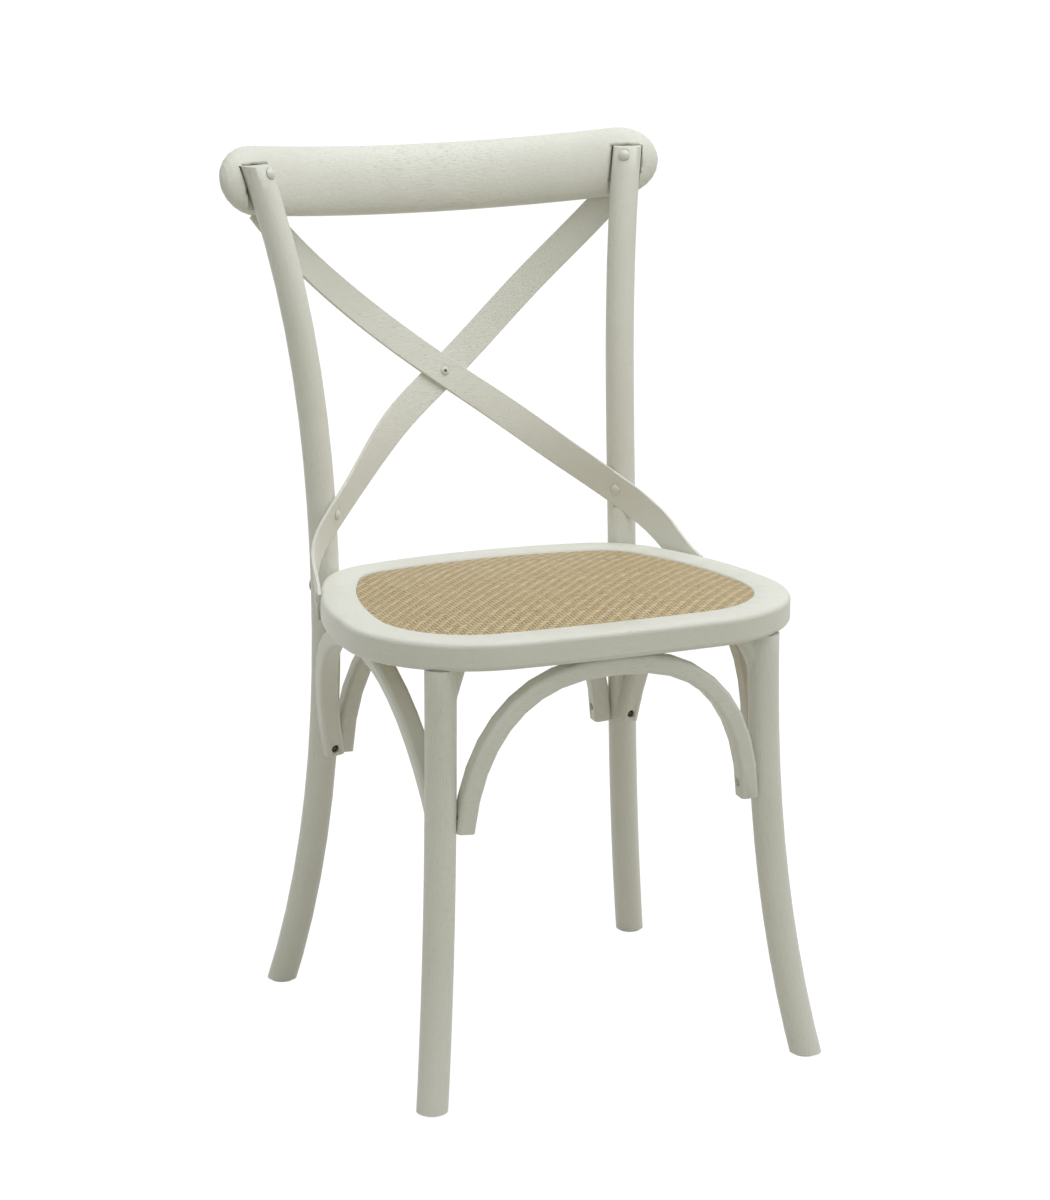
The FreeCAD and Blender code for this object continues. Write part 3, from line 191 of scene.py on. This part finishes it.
class Recipe:
    """A material whose nodes are laid out in code.

    Args:
        name: the material's name.
        roughness: how dull its surface is.
    """

    def __init__(self, name: str, roughness: float) -> None:
        """Makes the material with its shader and the object's own coordinates."""
        self.material = bpy.data.materials.new(name)
        self.material.use_nodes = True
        self.tree = self.material.node_tree
        self.shader = self.tree.nodes["Principled BSDF"]
        self.shader.inputs["Roughness"].default_value = roughness
        self.place = self.node("ShaderNodeTexCoord").outputs["Object"]

    def node(self, kind: str, **options: object) -> bpy.types.Node:
        """Adds a node.

        Args:
            kind: the node's type name.
            options: its settings by name.

        Returns:
            The node.
        """
        added = self.tree.nodes.new(kind)
        for option, value in options.items():
            setattr(added, option, value)
        return added

    def put(self, socket: Socket, value: object) -> None:
        """Sets a socket to a number or colour, or links a field or another socket to it.

        Args:
            socket: the input that is set.
            value: a number, colour, field or output socket.
        """
        if isinstance(value, Field):
            value = value.socket
        if isinstance(value, Socket):
            self.tree.links.new(value, socket)
        else:
            socket.default_value = value

    def reckon(self, kind: str, first: Field | float, second: Field | float = 0.0) -> Field:
        """Adds a math node.

        Args:
            kind: the node's operation.
            first: its first number or field.
            second: its second number or field, where the operation has two.

        Returns:
            The result.
        """
        node = self.node("ShaderNodeMath", operation=kind)
        self.put(node.inputs[0], first)
        self.put(node.inputs[1], second)
        return Field(self, node.outputs[0])

    def split(self, vector: Socket) -> tuple[Field, Field, Field]:
        """Returns a vector's three parts."""
        outputs = self.fed("ShaderNodeSeparateXYZ", vector).outputs
        return Field(self, outputs[0]), Field(self, outputs[1]), Field(self, outputs[2])

    def fed(self, kind: str, vector: Socket, **options: object) -> bpy.types.Node:
        """Adds a node that takes a vector first.

        Args:
            kind: the node's type name.
            vector: what goes into its first input.
            options: its settings by name.

        Returns:
            The node.
        """
        node = self.node(kind, **options)
        self.put(node.inputs[0], vector)
        return node

    def join(self, first: Field | float, second: Field | float, third: Field | float = 0.0) -> Socket:
        """Returns a vector made of three parts."""
        node = self.node("ShaderNodeCombineXYZ")
        for socket, value in zip(node.inputs, (first, second, third)):
            self.put(socket, value)
        return node.outputs[0]

    def stretched(self, vector: Socket, scale: Triple) -> Socket:
        """Returns a vector scaled by three numbers."""
        node = self.fed("ShaderNodeMapping", vector)
        node.inputs["Scale"].default_value = scale
        return node.outputs[0]

    def noise(self, vector: Socket, scale: float, detail: float = 2.0) -> Field:
        """Adds a soft noise from 0 to 1.

        Args:
            vector: where it is looked up.
            scale: how many lumps there are to a unit.
            detail: how many finer layers lie on it.

        Returns:
            The noise.
        """
        node = self.fed("ShaderNodeTexNoise", vector)
        node.inputs["Scale"].default_value = scale
        node.inputs["Detail"].default_value = detail
        return Field(self, node.outputs["Fac"])

    def speckle(self, vector: Socket) -> Field:
        """Returns one random number from 0 to 1 for each different vector."""
        return Field(self, self.fed("ShaderNodeTexWhiteNoise", vector).outputs["Value"])

    def distance(self, point: Vector) -> Field:
        """Returns the distance in metres from a point."""
        node = self.fed("ShaderNodeVectorMath", self.place, operation="DISTANCE")
        node.inputs[1].default_value = point
        return Field(self, node.outputs["Value"])

    def blend(self, share: Field | float, first: Shade | Socket, second: Shade | Socket) -> Socket:
        """Blends one colour into another.

        Args:
            share: how much of the second colour there is, 0 to 1.
            first: the first colour.
            second: the second colour.

        Returns:
            The blended colour.
        """
        node = self.node("ShaderNodeMix", data_type="RGBA")
        colours = [socket for socket in node.inputs if socket.type == "RGBA"]
        self.put(node.inputs[0], share)
        self.put(colours[0], first)
        self.put(colours[1], second)
        return next(socket for socket in node.outputs if socket.type == "RGBA")

    def relief(self, height: Field, depth: float, below: Socket | None = None) -> Socket:
        """Bends the surface's normal by a height.

        Args:
            height: the height, about 0 to 1.
            depth: what a height of 1 stands for, in metres.
            below: a normal that is already bent by something coarser.

        Returns:
            The normal.
        """
        node = self.node("ShaderNodeBump")
        node.inputs["Distance"].default_value = depth
        self.put(node.inputs["Height"], height)
        if below is not None:
            self.put(node.inputs["Normal"], below)
        return node.outputs[0]

    def dress(self, colour: Socket, normal: Socket, roughness: Field | None = None) -> bpy.types.Material:
        """Joins the surface's parts to the shader.

        Args:
            colour: its colour.
            normal: its normal.
            roughness: how dull it is, where that varies.

        Returns:
            The finished material.
        """
        self.put(self.shader.inputs["Base Color"], colour)
        self.put(self.shader.inputs["Normal"], normal)
        if roughness is not None:
            self.put(self.shader.inputs["Roughness"], roughness)
        return self.material


@dataclass(frozen=True)
class SatinPaint:
    """Off-white brushed paint that lets a little of the wood's grain through."""

    colour: Triple = (231, 232, 224)
    worn: Triple = (205, 204, 190)
    bright: Triple = (255, 255, 250)
    roughness: float = 0.42
    roughness_range: Range = (-0.05, 0.08)
    brush_scale: float = 12.0
    pore_scale: float = 26.0
    cloud_scale: float = 9.0
    brush_share: float = 0.10
    pore_share: float = 0.30
    cloud_share: float = 0.22
    depth: float = 0.00036
    seat_centre_y: float = -0.055
    seat_radius: float = 0.23

    def material(self, grain: Grain) -> bpy.types.Material:
        """Makes the paint for one direction of grain.

        Args:
            grain: the direction in which the piece's wood runs.

        Returns:
            The material.
        """
        recipe = Recipe(f"white_painted_wood_{grain.name.lower()}", self.roughness)
        place = self.round_the_seat(recipe) if grain is Grain.ROUND_THE_SEAT else recipe.place
        along = recipe.stretched(place, grain.value)
        brush = recipe.noise(along, self.brush_scale, 3.0)
        pores = recipe.noise(along, self.pore_scale).spread((0.62, 0.74))
        cloud = recipe.noise(recipe.place, self.cloud_scale, 3.0)
        worn = shown(self.worn)
        tint = recipe.blend(cloud.spread((0.35, 0.75), (0.0, self.cloud_share)), shown(self.colour), worn)
        tint = recipe.blend(brush.spread((0.3, 0.75), (0.0, self.brush_share)), tint, shown(self.bright))
        tint = recipe.blend(pores * self.pore_share, tint, worn)
        normal = recipe.relief(brush - pores * 0.5, self.depth)
        low, high = self.roughness_range
        dull = brush.spread((0.2, 0.8), (self.roughness + low, self.roughness + high))
        return recipe.dress(tint, normal, dull)

    def round_the_seat(self, recipe: Recipe) -> Socket:
        """Returns coordinates that run round the seat ring, out from its middle, and up."""
        x, y, z = recipe.split(recipe.place)
        back = y - self.seat_centre_y
        turn = recipe.reckon("ARCTAN2", back, x)
        out = (x * x + back * back).root()
        return recipe.join(turn * self.seat_radius, out, z)


@dataclass(frozen=True)
class PaintedSteel:
    """Bolt and screw heads under the same off-white paint."""

    colour: Triple = (226, 227, 220)
    worn: Triple = (198, 196, 184)
    # painted shade inside the head's socket
    socket_shade_colour: Triple = (96, 92, 80)
    socket_radius: float = 0.0019
    roughness: float = 0.35
    peel_scale: float = 900.0
    peel_share: float = 0.12
    depth: float = 0.00006

    def material(self, name: str, socket_at: Vector | None = None) -> bpy.types.Material:
        """Makes the paint with a faint orange peel, and painted shade in the socket if there is one.

        Args:
            name: the material's name.
            socket_at: the middle of the socket in the head, in metres.

        Returns:
            The material.
        """
        recipe = Recipe(name, self.roughness)
        peel = recipe.noise(recipe.place, self.peel_scale)
        share = peel.spread((0.3, 0.7), (0.0, self.peel_share))
        tint = recipe.blend(share, shown(self.colour), shown(self.worn))
        if socket_at is not None:
            # Painted shade: a dark disc over the socket in the head stands in for the shade inside its
            # hollow.
            edge = (self.socket_radius * 0.8, self.socket_radius * 1.1)
            socket_shade = recipe.distance(socket_at).spread(edge, (1.0, 0.0))
            tint = recipe.blend(socket_shade, tint, shown(self.socket_shade_colour))
        return recipe.dress(tint, recipe.relief(peel, self.depth))


@dataclass(frozen=True)
class Metal:
    """Bare steel: bright zinc or dull and dark."""

    name: str
    colour: Triple
    roughness: float
    metallic: float = 0.85
    marks_stretch: Triple = (1.0, 1.0, 6.0)
    marks_scale: float = 700.0
    marks_shade: float = 0.72
    depth: float = 0.00004

    def material(self) -> bpy.types.Material:
        """Returns the metal with fine turning marks."""
        recipe = Recipe(self.name, self.roughness)
        recipe.shader.inputs["Metallic"].default_value = self.metallic
        marks = recipe.noise(recipe.stretched(recipe.place, self.marks_stretch), self.marks_scale)
        darker = tuple(self.marks_shade * channel for channel in self.colour)
        tint = recipe.blend(marks.spread((0.3, 0.7)), shown(self.colour), shown(darker))
        return recipe.dress(tint, recipe.relief(marks, self.depth))


@dataclass(frozen=True)
class Plain:
    """Pale materials that hardly show: plywood, foam and nylon."""

    name: str
    colour: Triple
    darker: Triple
    scale: Triple
    roughness: float
    depth: float = 0.0002

    def material(self) -> bpy.types.Material:
        """Returns the material with its own streaks or pores."""
        recipe = Recipe(self.name, self.roughness)
        streak = recipe.noise(recipe.stretched(recipe.place, self.scale), 1.0, 4.0)
        tint = recipe.blend(streak.spread((0.3, 0.7)), shown(self.colour), shown(self.darker))
        return recipe.dress(tint, recipe.relief(streak, self.depth))


@dataclass(frozen=True)
class Rattan:
    """Flat strands in a twill of two over, two under; the ribs run from front left to back right."""

    pitch: float = 0.0039
    centre_y: float = -0.0555
    over: float = 2.0
    sway: float = 0.8
    sway_scale: float = 70.0
    flatness: float = 3.0
    fill: float = 2.08
    arch: float = 1.25
    sunk: float = 0.8
    light: Triple = (238, 218, 172)
    brown: Triple = (208, 184, 138)
    # painted shade: the darker colour of the front to back strands where they lie on top
    under: Triple = (168, 146, 108)
    knot: Triple = (120, 92, 60)
    # painted shade: the colour that the low places between the strands darken towards
    gap_shade: Triple = (100, 84, 62)
    fibre_share: float = 0.7
    strand_share: float = 0.5
    shaded_strand_share: float = 0.45
    knot_share: float = 0.55
    gap_shade_share: float = 0.6
    roughness: float = 0.55
    depth: float = 0.0020
    fibre_depth: float = 0.00012

    def material(self) -> bpy.types.Material:
        """Returns the weave with its strands, painted shade in the gaps, fibres and odd dark knots."""
        recipe = Recipe("rattan", self.roughness)
        x, y, _ = recipe.split(recipe.place)
        wobble = (recipe.noise(recipe.place, self.sway_scale) - 0.5) * self.sway
        u = x / self.pitch + wobble
        v = (y - self.centre_y) / self.pitch - wobble
        column, row = u.floor(), v.floor()
        step = (column - row) % (2 * self.over)
        back_on_top = step.below(self.over - 0.5)
        past = (step / self.over).fraction() * self.over
        u_in, v_in = u.fraction() - 0.5, v.fraction() - 0.5
        back_height = self.bulge(u_in, v_in + 0.5 - past) * self.sunk
        across_height = self.bulge(v_in, u_in - 0.5 + past)
        back_tone = self.tone(recipe, u_in, v, column, 7.0)
        across_tone = self.tone(recipe, v_in, u, row, 3.0)
        across_on_top = 1.0 - back_on_top
        height = back_height * back_on_top + across_height * across_on_top
        tone = back_tone * back_on_top + across_tone * across_on_top
        colour = self.colour(recipe, tone, height, back_on_top)
        normal = recipe.relief(tone, self.fibre_depth, recipe.relief(height, self.depth))
        return recipe.dress(colour, normal)

    def bulge(self, side: Field, along: Field) -> Field:
        """Reckons how high a strand stands.

        Args:
            side: place across the strand, from -0.5 to 0.5.
            along: place along the stretch that lies on top, from -1 to 1.

        Returns:
            The height, from 0 to 1.
        """
        round_top = 1.0 - abs(side * self.fill) ** self.flatness
        return round_top.at_least(0.0) * (along * self.arch).cosine().at_least(0.0)

    def tone(self, recipe: Recipe, side: Field, run: Field, number: Field, seed: float) -> Field:
        """Reckons how brown a strand is, with its fibres.

        Args:
            recipe: the material's recipe.
            side: place across the strand.
            run: place along the whole strand.
            number: the strand's number.
            seed: tells the two directions apart.

        Returns:
            The tone, about 0 to 1.
        """
        fibre = recipe.noise(recipe.join(side * 7.0, run * 0.35, number), 1.6)
        strand = recipe.speckle(recipe.join(number, seed))
        return fibre * self.fibre_share + strand * self.strand_share

    def colour(self, recipe: Recipe, tone: Field, height: Field, back_on_top: Field) -> Socket:
        """Mixes the weave's colour, with painted shade on the front to back strands that lie on top and
        in the gaps.

        Args:
            recipe: the material's recipe.
            tone: how brown each strand is.
            height: how high it stands.
            back_on_top: 1 where a front to back strand lies on top.

        Returns:
            The colour.
        """
        mixed = recipe.blend(tone.spread((0.25, 0.85)), shown(self.light), shown(self.brown))
        # Painted shade: front to back strands on top are darkened, as if they caught less light than the
        # strands across.
        mixed = recipe.blend(back_on_top * self.shaded_strand_share, mixed, shown(self.under))
        knots = recipe.noise(recipe.place, 190.0, 0.0).spread((0.74, 0.80), (0.0, self.knot_share))
        mixed = recipe.blend(knots, mixed, shown(self.knot))
        # Painted shade: where a strand sinks towards the gaps the colour darkens, standing in for the
        # shade there.
        return recipe.blend(height.spread((0.05, 0.5), (self.gap_shade_share, 0.0)), mixed, shown(self.gap_shade))


@dataclass
class Maker:
    """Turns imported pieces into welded, smooth and dressed ones."""

    crease: float = math.radians(28)
    weld: float = 0.00002
    made: dict[str, bpy.types.Object] = field(default_factory=dict)

    def refine(self, node: str, finish: bpy.types.Material) -> bpy.types.Object:
        """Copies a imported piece, welds it, smooths its bends and dresses it.

        Args:
            node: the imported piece's name.
            finish: its material.

        Returns:
            The finished piece.
        """
        source = frame["nodes"][node]
        piece = source.copy()
        piece.data = source.data.copy()
        piece.name = f"{node}_finished"
        if "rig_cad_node" in piece:
            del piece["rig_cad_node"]
        bpy.context.collection.objects.link(piece)
        only(piece)
        bpy.ops.object.mode_set(mode="EDIT")
        bpy.ops.mesh.select_all(action="SELECT")
        bpy.ops.mesh.remove_doubles(threshold=self.weld)
        bpy.ops.object.mode_set(mode="OBJECT")
        bpy.ops.object.shade_smooth_by_angle(angle=self.crease)
        evened = piece.modifiers.new("evened", "WEIGHTED_NORMAL")
        evened.keep_sharp = True
        bpy.ops.object.modifier_apply(modifier=evened.name)
        self.dress(piece, finish)
        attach(piece, "root")
        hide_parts(node)
        self.made[node] = piece
        LOG.info("%s: %d faces", piece.name, len(piece.data.polygons))
        return piece

    def dress(self, piece: bpy.types.Object, finish: bpy.types.Material) -> None:
        """Puts one material all over a piece.

        Args:
            piece: the piece.
            finish: its material.
        """
        piece.data.materials.clear()
        piece.data.materials.append(finish)
        for polygon in piece.data.polygons:
            polygon.material_index = 0


@dataclass
class Frame:
    """The painted wood: posts, legs, ring, braces, rail and crossed strips."""

    paint: SatinPaint = SatinPaint()
    grains: dict[str, Grain] = field(default_factory=lambda: {
        "rear_post_left": Grain.UPRIGHT, "rear_post_right": Grain.UPRIGHT,
        "front_leg_left": Grain.UPRIGHT, "front_leg_right": Grain.UPRIGHT,
        "cross_slat_front": Grain.ACROSS, "cross_slat_rear": Grain.ACROSS,
        "crest_rail": Grain.ACROSS, "seat_frame": Grain.ROUND_THE_SEAT,
        "front_brace": Grain.ACROSS, "rear_brace": Grain.ACROSS,
        "right_brace": Grain.FRONT_TO_BACK, "left_brace": Grain.FRONT_TO_BACK,
    })

    def build(self, maker: Maker) -> None:
        """Makes and dresses each painted piece of wood.

        Args:
            maker: what makes the pieces.
        """
        finishes = {grain: self.paint.material(grain) for grain in Grain}
        for node, grain in self.grains.items():
            maker.refine(node, finishes[grain])


@dataclass
class Seat:
    """The woven cover with the foam and the board below it."""

    rattan: Rattan = Rattan()
    foam: Plain = Plain("foam", (226, 220, 200), (208, 200, 178), (900.0, 900.0, 900.0), 0.9)
    board: Plain = Plain("plywood", (206, 178, 134), (178, 146, 102), (8.0, 120.0, 60.0), 0.6)
    clearance: float = 0.0004
    cut: Range = (0.394, 0.306)
    cut_area: float = 0.1163

    def build(self, maker: Maker) -> None:
        """Makes the cover and the foam pad and dresses the board.

        Args:
            maker: what makes the pieces.
        """
        cover = maker.refine("woven_seat", self.rattan.material())
        pad = maker.refine("seat_pad", self.foam.material())
        self.ease(pad)
        maker.dress(frame["nodes"]["seat_board"], self.board.material())

    def ease(self, pad: bpy.types.Object) -> None:
        """Draws the pad's surface in, so that it stays clear of the cover.

        Args:
            pad: the foam pad.
        """
        only(pad)
        drawn_in = pad.modifiers.new("ease", "DISPLACE")
        drawn_in.strength = -self.clearance
        drawn_in.mid_level = 0.0
        bpy.ops.object.modifier_apply(modifier=drawn_in.name)


@dataclass
class Hardware:
    """Bolts, nuts, screws and foot glides."""

    painted: PaintedSteel = PaintedSteel()
    zinc: Metal = Metal("zinc_steel", (176, 178, 180), 0.38)
    dark: Metal = Metal("dark_steel", (92, 88, 80), 0.55)
    nylon: Plain = Plain("nylon", (222, 222, 214), (206, 205, 196), (400.0, 400.0, 400.0), 0.5)
    painted_nodes: tuple[str, ...] = ("crest_rail_bolts", "cross_center_bolt", "cross_center_nut",
                                      "slat_post_screws", "slat_seat_screws", "post_seat_bolts")
    dark_nodes: tuple[str, ...] = ("brace_leg_screws", "brace_seat_screws")
    zinc_nodes: tuple[str, ...] = ("post_seat_nuts", "seat_board_screws")
    head_front: float = 0.0012
    socket_lift: float = 0.0002

    def build(self, maker: Maker) -> None:
        """Makes the heads and glides that show and dresses the rest.

        Args:
            maker: what makes the pieces.
        """
        paint = self.painted.material("white_painted_steel")
        zinc, dark = self.zinc.material(), self.dark.material()
        for node in self.painted_nodes:
            maker.refine(node, paint)
        centre = maker.made["cross_center_bolt"]
        maker.dress(centre, self.painted.material("white_painted_steel_shaded_socket", self.foremost(centre)))
        for node in self.dark_nodes:
            maker.refine(node, dark)
        for node in self.zinc_nodes:
            maker.dress(frame["nodes"][node], zinc)
        maker.refine("foot_glides", self.nylon.material())

    def foremost(self, bolt: bpy.types.Object) -> Vector:
        """Finds the front end of a bolt's own axis.

        Args:
            bolt: the bolt, which is longer than it is wide.

        Returns:
            The point in metres.
        """
        points = np.array([vertex.co for vertex in bolt.data.vertices])
        middle = (points.min(axis=0) + points.max(axis=0)) / 2
        axis = np.linalg.svd(points - points.mean(axis=0))[2][0]
        axis = axis if axis[1] < 0 else -axis
        reach = (points - middle) @ axis
        front = points[reach > reach.max() - self.head_front]
        return Vector(front.mean(axis=0) + axis * self.socket_lift)


@dataclass
class Studio:
    """Pale floor, soft light from above and the photograph's camera."""

    camera_at: Triple = (-1.4535, -3.3356, 1.3254)
    looks_along: Triple = (0.3888, 0.8900, -0.2382)
    lens: float = 110.40
    sensor: float = 36.0
    far_end: float = 100.0
    fill_strength: float = 0.47
    fill_colour: Triple = (255, 255, 247)
    key_power: float = 51.0
    key_size: float = 2.4
    key_at: Triple = (0.75, -0.5, 3.3)
    key_aim: Triple = (0.0, 0.0, 0.45)
    floor_radius: float = 14.0
    floor_tint: Shade = (0.59, 0.58, 0.51, 1.0)
    floor_seen: Shade = (0.9, 0.9, 0.9, 1.0)
    floor_glow: float = 1.2
    floor_glow_share: float = 0.80

    def build(self) -> None:
        """Sets up the floor, the world, the lamp, the camera and the view."""
        self.lay_floor()
        self.light_world()
        self.hang_key()
        self.place_camera()
        bpy.context.scene.view_settings.view_transform = "Standard"

    def seen_rays(self, tree: bpy.types.NodeTree) -> Socket:
        """Tells the rays that show the background from those that light the chair.

        Args:
            tree: the floor's or the world's nodes.

        Returns:
            1 for the rays that show it and 0 for the rest.
        """
        path = tree.nodes.new("ShaderNodeLightPath")
        total = path.outputs["Is Camera Ray"]
        for name in ("Is Glossy Ray", "Is Transmission Ray"):
            node = tree.nodes.new("ShaderNodeMath")
            node.operation = "MAXIMUM"
            tree.links.new(total, node.inputs[0])
            tree.links.new(path.outputs[name], node.inputs[1])
            total = node.outputs[0]
        return total

    def mixed(self, tree: bpy.types.NodeTree, share: Socket | float, first: bpy.types.Node,
              second: bpy.types.Node) -> bpy.types.Node:
        """Mixes two shaders.

        Args:
            tree: the nodes that they are in.
            share: how much of the second one there is.
            first: the first shader.
            second: the second shader.

        Returns:
            The mixing node.
        """
        mix = tree.nodes.new("ShaderNodeMixShader")
        if isinstance(share, Socket):
            tree.links.new(share, mix.inputs[0])
        else:
            mix.inputs[0].default_value = share
        tree.links.new(first.outputs[0], mix.inputs[1])
        tree.links.new(second.outputs[0], mix.inputs[2])
        return mix

    def lay_floor(self) -> None:
        """Lays a round floor that is pale to the chair and white to the camera."""
        bpy.ops.mesh.primitive_circle_add(
            vertices=96, radius=self.floor_radius, fill_type="NGON", location=(0, 0, 0)
        )
        floor = bpy.context.active_object
        floor.name = "floor"
        material = bpy.data.materials.new("pale_floor")
        material.use_nodes = True
        tree = material.node_tree
        tree.nodes.clear()
        pale = tree.nodes.new("ShaderNodeBsdfDiffuse")
        pale.inputs["Color"].default_value = self.floor_tint
        glow = tree.nodes.new("ShaderNodeEmission")
        glow.inputs["Color"].default_value = WHITE
        glow.inputs["Strength"].default_value = self.floor_glow
        bright = tree.nodes.new("ShaderNodeBsdfDiffuse")
        bright.inputs["Color"].default_value = self.floor_seen
        shaded = self.mixed(tree, self.floor_glow_share, bright, glow)
        seen = self.mixed(tree, self.seen_rays(tree), pale, shaded)
        output = tree.nodes.new("ShaderNodeOutputMaterial")
        tree.links.new(seen.outputs[0], output.inputs[0])
        floor.data.materials.append(material)

    def light_world(self) -> None:
        """Makes the sky white to the camera and a warm, weaker fill on the chair."""
        world = bpy.data.worlds.new("studio")
        bpy.context.scene.world = world
        world.use_nodes = True
        tree = world.node_tree
        tree.nodes.clear()
        fill = tree.nodes.new("ShaderNodeBackground")
        fill.inputs["Color"].default_value = shown(self.fill_colour)
        fill.inputs["Strength"].default_value = self.fill_strength
        white = tree.nodes.new("ShaderNodeBackground")
        white.inputs["Color"].default_value = WHITE
        mix = self.mixed(tree, self.seen_rays(tree), fill, white)
        output = tree.nodes.new("ShaderNodeOutputWorld")
        tree.links.new(mix.outputs[0], output.inputs[0])

    def hang_key(self) -> None:
        """Hangs one large soft lamp over the chair, a little towards +X and the front."""
        bpy.ops.object.light_add(type="AREA", location=self.key_at)
        lamp = bpy.context.active_object
        lamp.name = "key"
        lamp.data.energy = self.key_power
        lamp.data.size = self.key_size
        aim = Vector(self.key_aim) - Vector(self.key_at)
        lamp.rotation_euler = aim.to_track_quat("-Z", "Y").to_euler()

    def place_camera(self) -> None:
        """Places the camera where the photograph was taken from."""
        bpy.ops.object.camera_add(location=self.camera_at)
        camera = bpy.context.active_object
        camera.rotation_euler = Vector(self.looks_along).to_track_quat("-Z", "Y").to_euler()
        camera.data.sensor_fit = "VERTICAL"
        camera.data.sensor_height = self.sensor
        camera.data.lens = self.lens
        camera.data.clip_end = self.far_end
        bpy.context.scene.camera = camera


def main() -> None:
    """Builds the chair's visible pieces and the studio around them."""
    logging.basicConfig(level=logging.INFO, format="%(message)s")
    maker = Maker()
    for part in (Frame(), Seat(), Hardware()):
        part.build(maker)
        LOG.info("%s built", type(part).__name__)
    Studio().build()


if __name__ == "__main__":
    main()
